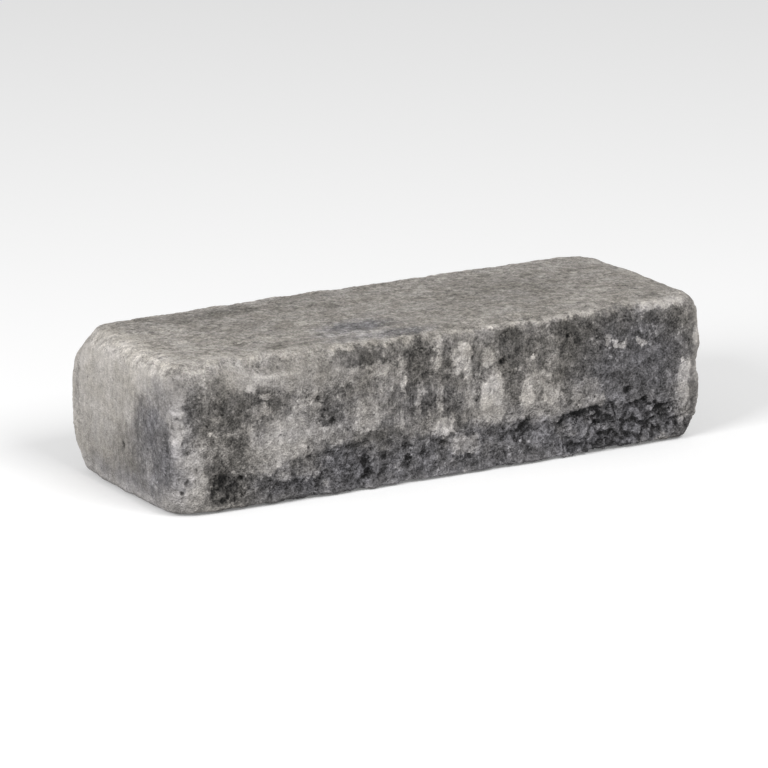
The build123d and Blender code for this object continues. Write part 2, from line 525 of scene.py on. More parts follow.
STAINS_AND_SHADE = {
    "front": FRONT_STAINS_AND_SHADE,
    "left": LEFT_STAINS_AND_SHADE,
    "top": TOP_STAINS_AND_SHADE,
    "right": RIGHT_STAINS,
    "back": BACK_STAINS,
}

# How deep the patches of each face reach into the block, stains and painted shade among them, and how
# soft their edges are as a share of their reach
PATCH_DEPTHS = {"left": 12, "right": 12, "front": 14, "back": 14, "bottom": 5, "top": 4}
PATCH_EDGES = {"left": 0.42, "right": 0.42, "front": 0.18, "back": 0.24, "bottom": 0.36, "top": 0.28}

# Where the concrete is bluish instead of warm: a face, a place on it, the reach of the patch and how
# bluish it is
COOL_PATCHES = (
    ("front", (-40, 52), (80, 12), 0.3),
    ("front", (40, 12), (160, 22), 0.8),
    ("front", (130, 14), (46, 18), 1.0),
    ("front", (-90, 16), (46, 17), 0.9),
    ("front", (146, 54), (40, 36), 0.8),
    ("front", (-115, 46), (32, 24), 0.25),
    ("front", (-196, 50), (14, 60), 0.4),
    ("left", (-50, 46), (28, 38), 0.75),
    ("left", (0, 6), (90, 12), 0.6),
    ("top", (0, 0), (300, 120), -0.3),
    ("top", (-42, -30), (26, 15), 0.8),
    ("top", (-36, -56), (40, 9), 0.6),
    ("top", (-60, -42), (18, 7), 0.7),
    ("right", (-34, 42), (30, 34), 0.8),
    ("back", (-110, 26), (70, 30), 0.8),
)

# How much of the grain shows where it isn't full: a face, a place on it, the reach and depth of the patch,
# and the share of the grain
GRAIN_SHARES = (
    ("front", (-112, 92), (62, 15), 14, 0.72),
    ("front", (-117, 46), (20, 17), 14, 0.8),
    ("front", (-187, 20), (13, 20), 14, 0.75),
    ("front", (37, 50), (10, 14), 14, 0.75),
    ("left", MIDDLE_OF_FACE, WHOLE_FACE, 10, 0.5),
    ("left", (-46, 45), (26, 36), 8, 0.75),
    ("right", MIDDLE_OF_FACE, WHOLE_FACE, 10, 0.6),
    ("top", MIDDLE_OF_FACE, WHOLE_FACE, 8, 0.9),
    ("bottom", MIDDLE_OF_FACE, WHOLE_FACE, 8, 0.8),
)

# Streaks left by the mould: a face, a place on it, the reach and depth of the streaked patch, how far the
# streaks are drawn out each way, and how strong they are in greys
STREAKS = (
    ("front", (-4, 62), (44, 40), 14, (3.4, 20, 26), 20),
    ("front", (0, 50), (300, 90), 14, (5, 20, 22), 9),
    ("back", (0, 50), (300, 90), 14, (5, 20, 22), 14),
    ("front", (-74, 22), (42, 15), 14, (13, 20, 2.4), 17),
    ("left", (0, 50), (120, 90), 4, (20, 2.4, 30), 7),
    ("left", (-46, 45), (30, 38), 8, (20, 3.6, 22), 8),
    ("right", (0, 50), (120, 90), 4, (20, 2.4, 30), 7),
    ("top", (0, 0), (300, 120), 4, (15, 8, 20), 7),
    ("bottom", (0, 0), (300, 120), 4, (26, 4, 20), 9),
)

# How much the slow drift, the mottling and the sand lighten and darken the concrete, in greys
DRIFT_GREYS = 12.0
MOTTLE_GREYS = 28.0
SAND_GREYS = 30.0

# The painted shade that the pits add, and what the pale flecks add, to dark concrete and to pale concrete, in
# greys
PIT_SHADE_GREYS = (-32.0, -46.0)
FLECK_GREYS = (52.0, 14.0)

# What the proud places of the mesh add, the painted shade that its hollow places add, and what the worn
# arrises within this width add, in greys
HOLLOW_SHADE_GREYS = (18.0, -38.0)
ARRIS_GREYS = 6.0
ARRIS_WIDTH = 9.0

# The camera stands where the photograph was taken from, in millimetres from the block's origin, and its
# roll is in degrees
CAMERA_PLACE = (-1964.9, -3484.3, 1115.9)
CAMERA_TARGET = (-3.0, 0.0, 48.0)
CAMERA_ROLL = -0.41

# The floor and the lamps, in metres
FLOOR_SIZE = 16.0
LAMP_SIZE = 1.6
SIDE_LAMP_PLACE = (-3.08, -1.08, 1.6)
FRONT_LAMP_PLACE = (0.4, -2.67, 2.4)


class BlockShape(bpy.types.PropertyGroup):
    """Sizes of the block's mesh and of the relief that weathers it."""

    voxel: FloatProperty(
        name="Voxel",
        description="Grid that the dressed blank is remeshed on",
        default=1.0 * MM,
        min=0.5 * MM,
        unit="LENGTH",
        subtype="DISTANCE",
    )
    triangles: IntProperty(
        name="Triangles",
        description="Most triangles that the block keeps",
        default=190000,
        min=1000,
    )
    rounding: IntProperty(
        name="Rounding",
        description="Passes that round the dressed flats over",
        default=14,
        min=0,
    )
    sag: FloatProperty(
        name="Sag",
        description="Depth of the slow hollows in the faces",
        default=0.9 * MM,
        unit="LENGTH",
        subtype="DISTANCE",
    )
    knocks: FloatProperty(
        name="Knocks",
        description="Depth of the knocks along the arrises",
        default=1.6 * MM,
        unit="LENGTH",
        subtype="DISTANCE",
    )
    lumps: FloatProperty(
        name="Lumps",
        description="Depth between the lumps of aggregate in rough concrete",
        default=1.3 * MM,
        unit="LENGTH",
        subtype="DISTANCE",
    )
    pitting: FloatProperty(
        name="Pitting",
        description="Depth of the small pits in rough concrete",
        default=1.0 * MM,
        unit="LENGTH",
        subtype="DISTANCE",
    )
    tearing: FloatProperty(
        name="Tearing",
        description="Depth of the torn concrete low on the face",
        default=2.2 * MM,
        unit="LENGTH",
        subtype="DISTANCE",
    )


class BlockFinish(bpy.types.PropertyGroup):
    """Colour and grain of the concrete."""

    warm_cast: FloatVectorProperty(
        name="Warm cast",
        description="Cast of the bare concrete, on which its greys are based",
        default=(1.0, 0.94, 0.878),
        subtype="COLOR",
        min=0.0,
        max=1.0,
    )
    cool_cast: FloatVectorProperty(
        name="Cool cast",
        description="Cast of the bluish stains",
        default=(0.98, 0.952, 1.0),
        subtype="COLOR",
        min=0.0,
        max=1.0,
    )
    mottling: FloatProperty(name="Mottling", description="How blotchy the concrete is", default=1.0, min=0.0)
    grit: FloatProperty(name="Grit", description="How much the sand and the pits show", default=1.0, min=0.0)
    grain_depth: FloatProperty(
        name="Grain depth",
        description="Depth of the sandy grain that the mesh is too coarse for",
        default=0.6 * MM,
        unit="LENGTH",
        subtype="DISTANCE",
    )


class BlockStage(bpy.types.PropertyGroup):
    """The camera, the lamps and the floor."""

    lens: FloatProperty(
        name="Lens",
        description="Focal length of the camera, in millimetres",
        default=292.0,
        min=1.0,
    )
    side: FloatProperty(
        name="Side lamp",
        description="Power of the soft lamp at the left end, in watts",
        default=94.0,
    )
    front: FloatProperty(
        name="Front lamp",
        description="Power of the soft lamp above the front, in watts",
        default=70.0,
    )
    sky: FloatProperty(
        name="Sky",
        description="Strength of the even light from all round",
        default=0.4,
        min=0.0,
    )
    floor: FloatVectorProperty(
        name="Floor",
        description="Colour of the floor",
        default=(0.86, 0.86, 0.86),
        subtype="COLOR",
        min=0.0,
        max=1.0,
    )


def deselect_all():
    """Leaves nothing selected, because an operator acts on all that is selected."""
    if bpy.context.object and bpy.context.object.mode != "OBJECT":
        bpy.ops.object.mode_set(mode="OBJECT")
    bpy.ops.object.select_all(action="DESELECT")


def face_direction(face):
    """The unit vector that a named face of the block looks along."""
    axis, side, _ = FACES[face]
    direction = Vector((0.0, 0.0, 0.0))
    direction[axis] = side
    return direction


def face_place(face, place):
    """The point, in millimetres, at a place that is measured on a named face of the block."""
    axis, side, across = FACES[face]
    point = MIDDLE + face_direction(face) * HALF[axis]
    point[across[0]], point[across[1]] = place
    return point


def arris_point(first_face, second_face, station):
    """The point on the sharp arris between two faces, at a station along it."""
    point = MIDDLE.copy()
    for face in (first_face, second_face):
        point += face_direction(face) * HALF[FACES[face][0]]
    along = 3 - FACES[first_face][0] - FACES[second_face][0]
    point[along] = station
    return point


def apply_modifier(piece, kind, **settings):
    """Adds one modifier with these settings to the piece, which is active, and applies it."""
    modifier = piece.modifiers.new(kind.title(), kind)
    for name, value in settings.items():
        setattr(modifier, name, value)
    bpy.ops.object.modifier_apply(modifier=modifier.name)


def cut_off(point, normal):
    """Bisects the mesh being edited, drops what lies outside the plane and fills the cut."""
    bpy.ops.mesh.select_all(action="SELECT")
    bpy.ops.mesh.bisect(plane_co=point * MM, plane_no=normal, use_fill=True, clear_outer=True)


def dress_arris(first_face, second_face, stations, radii):
    """Dresses one arris off in tapering flats that lie tangent to its worn round."""
    first, second = face_direction(first_face), face_direction(second_face)
    spans = zip(zip(stations, radii), zip(stations[1:], radii[1:]))
    for (start, start_radius), (end, end_radius) in spans:
        for angle in DRESSING_ANGLES:
            outward = first * math.cos(math.radians(angle)) + second * math.sin(math.radians(angle))
            ends = [
                arris_point(first_face, second_face, station)
                + (first + second) * (PROUD - radius)
                + outward * radius
                for station, radius in ((start, start_radius), (end, end_radius))
            ]
            across = second * math.cos(math.radians(angle)) - first * math.sin(math.radians(angle))
            normal = (ends[1] - ends[0]).cross(across).normalized()
            if normal.dot(outward) < 0:
                normal.negate()
            cut_off(ends[0], normal)


def knock_corners():
    """Cuts each corner of the block back to a facet."""
    for facing, depth in CORNER_FACETS:
        corner = Vector([MIDDLE[axis] + math.copysign(HALF[axis], facing[axis]) for axis in range(3)])
        outward = Vector(facing).normalized()
        cut_off(corner - outward * depth, outward)


def break_out(block, point, outward, run, depth):
    """Cuts a hollow scar with the side of a ball that passes this deep below a point of the sharp block."""
    bend = (run**2 / 4 + depth**2) / (2 * depth)
    centre = point + outward.normalized() * (bend - depth)
    deselect_all()
    bpy.ops.mesh.primitive_ico_sphere_add(subdivisions=5, radius=bend * MM, location=centre * MM)
    ball = bpy.context.object
    bpy.context.view_layer.objects.active = block
    apply_modifier(block, "BOOLEAN", operation="DIFFERENCE", object=ball, solver="EXACT")
    bpy.data.objects.remove(ball)


def smooth_step(low, high, values):
    """Rises smoothly from 0 at low to 1 at high."""
    share = np.clip((values - low) / (high - low), 0.0, 1.0)
    return share * share * (3.0 - 2.0 * share)


def vertex_places(piece):
    """Where the piece's vertices are, in millimetres."""
    places = np.empty(len(piece.data.vertices) * 3)
    piece.data.vertices.foreach_get("co", places)
    return places.reshape(-1, 3) / MM


def wobbled(places, size, reach):
    """The same places, each pushed about by a smooth noise of this size, so that patches get uneven edges."""
    noise.seed_set(NOISE_SEED)
    pushes = [noise.noise_vector(Vector(place) / size) for place in places]
    return places + np.array(pushes) * reach


def patch_weights(places, face, place, reach, depth=30.0):
    """1 within a patch on a face of the block, falling softly to 0 at its edge."""
    axis, _, across = FACES[face]
    reaches = np.full(3, depth)
    reaches[list(across)] = reach
    distances = np.linalg.norm((places - np.array(face_place(face, place))) / reaches, axis=1)
    return 1.0 - smooth_step(0.7, 1.3, distances)


def painted(places, patches, ground=0.0):
    """Weights from a list of patches, each painted over the ones before it."""
    weights = np.full(len(places), ground)
    for face, place, reach, value in patches:
        cover = patch_weights(places, face, place, reach)
        weights += (value - weights) * cover
    return weights


def corner_weights(places):
    """1 at the corners of the block, falling to 0 along the arrises."""
    distances = np.max(np.array(HALF) - np.abs(places - np.array(MIDDLE)), axis=1)
    return 1.0 - smooth_step(16.0, 34.0, distances)


def arris_weights(places):
    """1 on the arrises, falling to 0 on the faces."""
    distances = np.sort(np.array(HALF) - np.abs(places - np.array(MIDDLE)), axis=1)
    return 1.0 - smooth_step(5.0, 20.0, distances[:, 1])


def lip_weights(places):
    """How deeply the front face is torn just below its lip: 0 above it, and falling to 0 further down."""
    runs, heights, strengths = zip(*LIP)
    below = np.interp(places[:, 0], runs, heights) - places[:, 2]
    weights = smooth_step(0.0, 1.4, below) * (1.0 - smooth_step(2.0, 9.0, below))
    weights *= np.interp(places[:, 0], runs, strengths)
    return weights * (places[:, 1] < face_place("front", MIDDLE_OF_FACE).y + 12.0)


def pit_weights(places):
    """1 at the bottom of each single pit."""
    weights = np.zeros(len(places))
    for face, place, radius in PITS:
        distances = np.linalg.norm(places - np.array(face_place(face, place)), axis=1)
        weights = np.maximum(weights, 1.0 - smooth_step(0.35 * radius, 1.15 * radius, distances))
    return weights


def paint_group(piece, name, weights, steps=50):
    """Stores weights in a vertex group of the piece, to the nearest step."""
    group = piece.vertex_groups.new(name=name)
    levels = np.round(weights * steps).astype(int)
    for level in range(1, steps + 1):
        group.add(np.flatnonzero(levels == level).tolist(), level / steps, "REPLACE")


def sharpen(texture, levels):
    """Puts the texture's black and its white at two levels of its grey."""
    texture.use_color_ramp = True
    for element, level in zip(texture.color_ramp.elements, levels):
        element.position = level
        element.alpha = 1.0


def cloud_texture(name, size, octaves=2, levels=None):
    """A cloudy texture of this size in millimetres, sharpened where two levels are given."""
    texture = bpy.data.textures.new(name, "CLOUDS")
    texture.noise_scale = size * MM
    texture.noise_depth = octaves
    texture.noise_type = "SOFT_NOISE"
    if levels:
        sharpen(texture, levels)
    return texture


def cell_texture(name, size):
    """A texture of dimples, one in each cell of this size in millimetres."""
    texture = bpy.data.textures.new(name, "VORONOI")
    texture.noise_scale = size * MM
    texture.distance_metric = "DISTANCE"
    return texture


def crevice_texture(name, size, width):
    """Bent lumps of this size in millimetres, between which crevices take up this share of the texture."""
    texture = bpy.data.textures.new(name, "DISTORTED_NOISE")
    texture.noise_scale = size * MM
    texture.noise_basis = "VORONOI_F2_F1"
    texture.noise_distortion = "IMPROVED_PERLIN"
    texture.distortion = 0.45
    texture.intensity = 2.0
    sharpen(texture, (0.0, width))
    return texture


def press_relief(block, texture, depth, group=""):
    """Presses a texture into the block along its normals. Its white stays level, so nothing grows out."""
    apply_modifier(
        block,
        "DISPLACE",
        texture=texture,
        texture_coords="LOCAL",
        mid_level=1.0,
        strength=depth,
        vertex_group=group,
    )


def set_back(block, depth, group):
    """Sets the block's surface back by this depth wherever the vertex group is at its full weight."""
    apply_modifier(block, "DISPLACE", mid_level=0.0, strength=-depth, vertex_group=group)


def store_hollows(block, passes=24):
    """Stores how far each vertex lies below its surroundings, in millimetres, for the painted shade in the
    hollows to follow.
    """
    mesh = block.data
    places = vertex_places(block)
    edges = np.empty(len(mesh.edges) * 2, dtype=int)
    mesh.edges.foreach_get("vertices", edges)
    edges = edges.reshape(-1, 2)
    neighbours = np.bincount(edges.ravel(), minlength=len(places))[:, None]
    evened = places.copy()
    for _ in range(passes):
        sums = np.empty_like(evened)
        for axis in range(3):
            sums[:, axis] = np.bincount(edges[:, 0], evened[edges[:, 1], axis], len(places))
            sums[:, axis] += np.bincount(edges[:, 1], evened[edges[:, 0], axis], len(places))
        evened = sums / neighbours
    normals = np.empty(len(places) * 3)
    mesh.vertex_normals.foreach_get("vector", normals)
    depths = np.sum((evened - places) * normals.reshape(-1, 3), axis=1)
    mesh.attributes.new("hollow", "FLOAT", "POINT").data.foreach_set("value", depths)


def add_node(tree, kind, inputs=None, **settings):
    """Adds a node with these settings. Inputs are linked where a socket is given for them, or else set."""
    node = tree.nodes.new(kind)
    for name, value in settings.items():
        setattr(node, name, value)
    for name, value in (inputs or {}).items():
        if isinstance(value, bpy.types.NodeSocket):
            tree.links.new(value, node.inputs[name])
        else:
            node.inputs[name].default_value = value
    return node


def calculate(tree, operation, first, second=0.0):
    """The result of one sum of two numbers."""
    return add_node(tree, "ShaderNodeMath", {0: first, 1: second}, operation=operation).outputs[0]


def shift_vector(tree, operation, first, second):
    """The result of one sum of two vectors."""
    node = add_node(tree, "ShaderNodeVectorMath", {0: first, 1: second}, operation=operation)
    return node.outputs["Vector"]


def rescale(tree, value, low, high, to_low=0.0, to_high=1.0, smooth=True):
    """A number taken from one range to another, and held there."""
    return add_node(
        tree,
        "ShaderNodeMapRange",
        {"Value": value, "From Min": low, "From Max": high, "To Min": to_low, "To Max": to_high},
        interpolation_type="SMOOTHSTEP" if smooth else "LINEAR",
    ).outputs["Result"]


def blend_numbers(tree, share, first, second):
    """A number between two others."""
    return add_node(tree, "ShaderNodeMix", {0: share, 2: first, 3: second}).outputs[0]


def noise_node(tree, place, size, detail=2.0, roughness=0.5):
    """A noise whose waves are about this size in millimetres."""
    return add_node(
        tree,
        "ShaderNodeTexNoise",
        {"Vector": place, "Scale": 1.0 / size, "Detail": detail, "Roughness": roughness},
    )


def cell_distances(tree, place, size):
    """The distance from the middle of each cell, where cells are about this size in millimetres."""
    return add_node(tree, "ShaderNodeTexVoronoi", {"Vector": place, "Scale": 1.0 / size}).outputs["Distance"]


def new_group(name, inputs, outputs):
    """A new shader group with these named sockets, its input sockets and its output node."""
    group = bpy.data.node_groups.new(name, "ShaderNodeTree")
    for label, kind in inputs:
        group.interface.new_socket(label, in_out="INPUT", socket_type="NodeSocket" + kind)
    for label, kind in outputs:
        group.interface.new_socket(label, in_out="OUTPUT", socket_type="NodeSocket" + kind)
    return group, group.nodes.new("NodeGroupInput").outputs, group.nodes.new("NodeGroupOutput")


def patch_group():
    """Lays one patch of another grey over the tone that comes in."""
    sockets = (
        ("Tone", "Float"),
        ("Position", "Vector"),
        ("Centre", "Vector"),
        ("Reach", "Vector"),
        ("Grey", "Float"),
        ("Cover", "Float"),
        ("Edge", "Float"),
    )
    group, given, result = new_group("Patch", sockets, (("Tone", "Float"),))
    # a trace of the tone in the position makes the renderer work the patches out one after the other, because
    # it has no room for all of them at once
    trace = shift_vector(group, "MULTIPLY", given["Tone"], (1e-9,) * 3)
    place = shift_vector(group, "ADD", given["Position"], trace)
    offset = shift_vector(group, "SUBTRACT", place, given["Centre"])
    share = shift_vector(group, "DIVIDE", offset, given["Reach"])
    distance = add_node(group, "ShaderNodeVectorMath", {0: share}, operation="LENGTH").outputs["Value"]
    outside = calculate(group, "ADD", 1.0, given["Edge"])
    inside = calculate(group, "SUBTRACT", 1.0, given["Edge"])
    cover = calculate(group, "MULTIPLY", rescale(group, distance, outside, inside), given["Cover"])
    group.links.new(blend_numbers(group, cover, given["Tone"], given["Grey"]), result.inputs["Tone"])
    return group


def wander_group():
    """Pushes a position about, so that the edges of what is placed by it wander."""
    group, given, result = new_group("Wander", (("Position", "Vector"),), (("Position", "Vector"),))
    place = given["Position"]
    for size, reach in ((14.0, 5.5), (4.5, 3.6), (1.5, 1.8)):
        waves = noise_node(group, given["Position"], size).outputs["Color"]
        push = shift_vector(group, "SUBTRACT", waves, (0.5,) * 3)
        push = shift_vector(group, "MULTIPLY", push, (1.4 * reach, 2.0 * reach, 2.4 * reach))
        place = shift_vector(group, "ADD", place, push)
    group.links.new(place, result.inputs["Position"])
    return group


def grain_group():
    """Blotches, sand, pits and pale flecks of worn concrete."""
    masks = ("Drift", "Mottle", "Sand", "Pits", "Flecks")
    outputs = [(mask, "Float") for mask in masks]
    group, given, result = new_group("Concrete Grain", (("Position", "Vector"),), outputs)
    place = given["Position"]
    drift = rescale(group, noise_node(group, place, 17.0, 3.0, 0.6).outputs[0], 0.34, 0.66, -1.0, 1.0, False)
    mottle = rescale(group, noise_node(group, place, 5.0, 4.0, 0.7).outputs[0], 0.34, 0.66, -1.0, 1.0, False)
    sand = rescale(group, noise_node(group, place, 1.3, 2.0, 0.6).outputs[0], 0.3, 0.7, -1.0, 1.0, False)
    openings = rescale(group, noise_node(group, place, 7.0).outputs[0], 0.48, 0.64)
    dimples = rescale(group, cell_distances(group, place, 3.2), 0.4, 0.15)
    pits = calculate(group, "MULTIPLY", dimples, openings)
    bent = noise_node(group, place, 2.5).outputs["Color"]
    bent = shift_vector(group, "ADD", place, shift_vector(group, "MULTIPLY", bent, (4.0,) * 3))
    lime = rescale(group, noise_node(group, place, 11.0, 3.0).outputs[0], 0.5, 0.62)
    specks = rescale(group, cell_distances(group, bent, 4.6), 0.36, 0.2)
    flecks = calculate(group, "MULTIPLY", specks, lime)
    for name, value in zip(masks, (drift, mottle, sand, pits, flecks)):
        group.links.new(value, result.inputs[name])
    return group


def wear_group():
    """A mask for the arrises of a block, from how far a position is below its faces."""
    sockets = (("Position", "Vector"), ("Middle", "Vector"), ("Half", "Vector"), ("Width", "Float"))
    group, given, result = new_group("Arris Wear", sockets, (("Wear", "Float"),))
    offset = shift_vector(group, "SUBTRACT", given["Position"], given["Middle"])
    size = add_node(group, "ShaderNodeVectorMath", {0: offset}, operation="ABSOLUTE").outputs["Vector"]
    depths = shift_vector(group, "SUBTRACT", given["Half"], size)
    below = add_node(group, "ShaderNodeSeparateXYZ", {0: depths}).outputs
    total = calculate(group, "ADD", calculate(group, "ADD", below[0], below[1]), below[2])
    least = calculate(group, "MINIMUM", calculate(group, "MINIMUM", below[0], below[1]), below[2])
    most = calculate(group, "MAXIMUM", calculate(group, "MAXIMUM", below[0], below[1]), below[2])
    median = calculate(group, "SUBTRACT", total, calculate(group, "ADD", least, most))
    wear = rescale(group, calculate(group, "DIVIDE", median, given["Width"]), 1.0, 0.2)
    group.links.new(wear, result.inputs["Wear"])
    return group


def streak_group():
    """Streaks drawn out by a stretch of the position."""
    sockets = (("Position", "Vector"), ("Stretch", "Vector"))
    group, given, result = new_group("Streaks", sockets, (("Streak", "Float"),))
    drawn = shift_vector(group, "DIVIDE", given["Position"], given["Stretch"])
    streak = rescale(group, noise_node(group, drawn, 1.0, 3.0, 0.6).outputs[0], 0.33, 0.67, -1.0, 1.0, False)
    group.links.new(streak, result.inputs["Streak"])
    return group


def lay_patch(tree, patch_layer, where, tone, face, spot, reach, depth, grey, cover=1.0, edge=None):
    """Lays a patch of this grey on a face of the block, over the tone given, and returns the new tone."""
    across = FACES[face][2]
    reaches = Vector((depth, depth, depth))
    reaches[across[0]], reaches[across[1]] = reach
    inputs = {
        "Position": where,
        "Tone": tone,
        "Centre": face_place(face, spot),
        "Reach": reaches,
        "Grey": grey,
        "Cover": cover,
        "Edge": edge or PATCH_EDGES[face],
    }
    return add_node(tree, "ShaderNodeGroup", inputs, node_tree=patch_layer).outputs["Tone"]


def concrete_material(finish):
    """The block's concrete: stains, and painted shade in pits, crevices and hollows, in their places over
    blotches, streaks, sand and pits.
    """
    material = bpy.data.materials.new("tumbled_concrete")
    material.use_nodes = True
    tree = material.node_tree
    tree.nodes.clear()
    objects = add_node(tree, "ShaderNodeTexCoord").outputs["Object"]
    place = shift_vector(tree, "MULTIPLY", objects, (1.0 / MM,) * 3)
    hollow = add_node(tree, "ShaderNodeAttribute", attribute_name="hollow").outputs["Fac"]
    wander = add_node(tree, "ShaderNodeGroup", {"Position": place}, node_tree=wander_group())
    grain = add_node(tree, "ShaderNodeGroup", {"Position": place}, node_tree=grain_group()).outputs
    arrises = {"Position": place, "Middle": MIDDLE, "Half": HALF, "Width": ARRIS_WIDTH}
    wear = add_node(tree, "ShaderNodeGroup", arrises, node_tree=wear_group()).outputs["Wear"]

    patch_layer = patch_group()
    where = wander.outputs["Position"]
    tone = 130.0
    for face, spot, reach, depth, grey in FACE_GREYS:
        tone = lay_patch(tree, patch_layer, where, tone, face, spot, reach, depth, grey)
    for face, face_stains_and_shade in STAINS_AND_SHADE.items():
        for spot, reach, grey, cover in face_stains_and_shade:
            tone = lay_patch(tree, patch_layer, where, tone, face, spot, reach, PATCH_DEPTHS[face], grey, cover)
    streaks = streak_group()
    for face, spot, reach, depth, stretch, strength in STREAKS:
        drawn = {"Position": place, "Stretch": stretch}
        streak = add_node(tree, "ShaderNodeGroup", drawn, node_tree=streaks)
        mask = lay_patch(tree, patch_layer, where, 0.0, face, spot, reach, depth, strength)
        tone = calculate(tree, "ADD", tone, calculate(tree, "MULTIPLY", streak.outputs["Streak"], mask))

    grained = 1.0
    for face, spot, reach, depth, share in GRAIN_SHARES:
        grained = lay_patch(tree, patch_layer, where, grained, face, spot, reach, depth, share)
    paleness = rescale(tree, tone, 95.0, 150.0)
    marks = calculate(tree, "MULTIPLY", grain["Drift"], DRIFT_GREYS * finish.mottling)
    mottling = calculate(tree, "MULTIPLY", grain["Mottle"], MOTTLE_GREYS * finish.mottling)
    marks = calculate(tree, "ADD", marks, mottling)
    sanding = calculate(tree, "MULTIPLY", grain["Sand"], SAND_GREYS * finish.grit)
    marks = calculate(tree, "ADD", marks, sanding)
    pitted = calculate(tree, "MULTIPLY", grain["Pits"], grained)
    # painted shade in the small pits of the grain
    pitting = calculate(tree, "MULTIPLY", pitted, blend_numbers(tree, paleness, *PIT_SHADE_GREYS))
    flecking = calculate(tree, "MULTIPLY", grain["Flecks"], blend_numbers(tree, paleness, *FLECK_GREYS))
    marks = calculate(tree, "ADD", marks, calculate(tree, "ADD", pitting, flecking))
    tone = calculate(tree, "ADD", tone, calculate(tree, "MULTIPLY", marks, grained))
    # painted shade in the hollows of the mesh, and the proud places lighter
    tone = calculate(tree, "ADD", tone, rescale(tree, hollow, -0.5, 1.1, *HOLLOW_SHADE_GREYS, False))
    tone = calculate(tree, "ADD", tone, calculate(tree, "MULTIPLY", wear, ARRIS_GREYS))

    share = rescale(tree, tone, 0.0, 255.0, 0.0, 1.0, False)
    grey = calculate(tree, "POWER", share, 2.2)
    cool = 0.0
    for face, spot, reach, amount in COOL_PATCHES:
        cool = lay_patch(tree, patch_layer, where, cool, face, spot, reach, PATCH_DEPTHS[face], amount, edge=0.5)
    cool = calculate(tree, "MULTIPLY", cool, blend_numbers(tree, paleness, 1.1, 0.6))
    cool = calculate(tree, "ADD", cool, calculate(tree, "MULTIPLY", grain["Drift"], 0.16))
    cast = add_node(
        tree,
        "ShaderNodeMix",
        {0: cool, 6: (*finish.warm_cast, 1.0), 7: (*finish.cool_cast, 1.0)},
        data_type="RGBA",
        clamp_factor=False,
    ).outputs[2]
    colour = shift_vector(tree, "MULTIPLY", cast, grey)
    height = calculate(tree, "SUBTRACT", calculate(tree, "MULTIPLY", grain["Sand"], 0.5), pitted)
    relief = {"Height": height, "Distance": finish.grain_depth, "Strength": 1.0}
    bump = add_node(tree, "ShaderNodeBump", relief)
    shader = add_node(
        tree,
        "ShaderNodeBsdfPrincipled",
        {
            "Base Color": colour,
            "Roughness": rescale(tree, tone, 60.0, 180.0, 0.82, 0.94, False),
            "Normal": bump.outputs["Normal"],
            "Specular IOR Level": 0.3,
        },
    )
    output = add_node(tree, "ShaderNodeOutputMaterial")
    tree.links.new(shader.outputs["BSDF"], output.inputs["Surface"])
    return material


class STACKING_OT_model_block(bpy.types.Operator):
    """Model the block: a blank, dressed along its arrises, flaked, remeshed and weathered"""

    bl_idname = "stacking.model_block"
    bl_label = "Model the Block"

    def execute(self, context):
        shape = context.scene.block_shape
        deselect_all()
        bpy.ops.mesh.primitive_cube_add(size=1.0, location=MIDDLE * MM, scale=HALF * 2 * MM)
        block = context.object
        block.name = "tumbled_block"
        block.data.name = "tumbled_block"
        bpy.ops.object.transform_apply(location=True, rotation=True, scale=True)

        bpy.ops.object.mode_set(mode="EDIT")
        for arris in ARRIS_WEAR:
            dress_arris(*arris)
        knock_corners()
        bpy.ops.mesh.select_all(action="SELECT")
        bpy.ops.mesh.remove_doubles(threshold=0.01 * MM)
        bpy.ops.mesh.normals_make_consistent(inside=False)
        bpy.ops.object.mode_set(mode="OBJECT")
        for first_face, second_face, station, run, depth in FLAKES:
            outward = face_direction(first_face) + face_direction(second_face)
            break_out(block, arris_point(first_face, second_face, station), outward, run, depth)
        for spot, run, depth in HOLLOWS:
            break_out(block, face_place("front", spot), face_direction("front"), run, depth)
        block.select_set(True)

        apply_modifier(block, "REMESH", mode="VOXEL", voxel_size=shape.voxel)
        apply_modifier(block, "SMOOTH", factor=0.5, iterations=shape.rounding)
        paint_group(block, "corners", corner_weights(vertex_places(block)))
        apply_modifier(block, "SMOOTH", factor=0.5, iterations=8 * shape.rounding, vertex_group="corners")

        places = vertex_places(block)
        uneven = wobbled(places, 9.0, 4.0)
        paint_group(block, "arrises", arris_weights(places))
        paint_group(block, "rough", painted(uneven, ROUGHNESS, PLAIN_ROUGHNESS))
        paint_group(block, "torn", painted(uneven, TORN))
        paint_group(block, "lip", lip_weights(wobbled(places, 5.0, 2.6)))
        paint_group(block, "pits", pit_weights(wobbled(places, 3.0, 1.2)))

        press_relief(block, cloud_texture("sag", 90.0), shape.sag)
        press_relief(block, cell_texture("knocks", 17.0), shape.knocks, "arrises")
        set_back(block, shape.tearing, "lip")
        set_back(block, shape.tearing, "pits")
        press_relief(block, crevice_texture("tearing", 10.5, 0.26), shape.tearing, "torn")
        torn_lumps = cloud_texture("torn lumps", 8.0, 3, (0.22, 0.72))
        press_relief(block, torn_lumps, 0.9 * shape.tearing, "torn")
        press_relief(block, cloud_texture("lumps", 6.0, 2, (0.25, 0.7)), shape.lumps, "rough")
        press_relief(block, cloud_texture("pitting", 2.4, 1, (0.26, 0.44)), shape.pitting, "rough")

        count = sum(len(face.vertices) - 2 for face in block.data.polygons)
        apply_modifier(block, "DECIMATE", ratio=min(1.0, shape.triangles / count))
        block.vertex_groups.clear()
        store_hollows(block)
        bpy.ops.object.shade_smooth()
        block.data.materials.append(concrete_material(context.scene.block_finish))

        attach(block, "root")
        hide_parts(NODE)
        return {"FINISHED"}


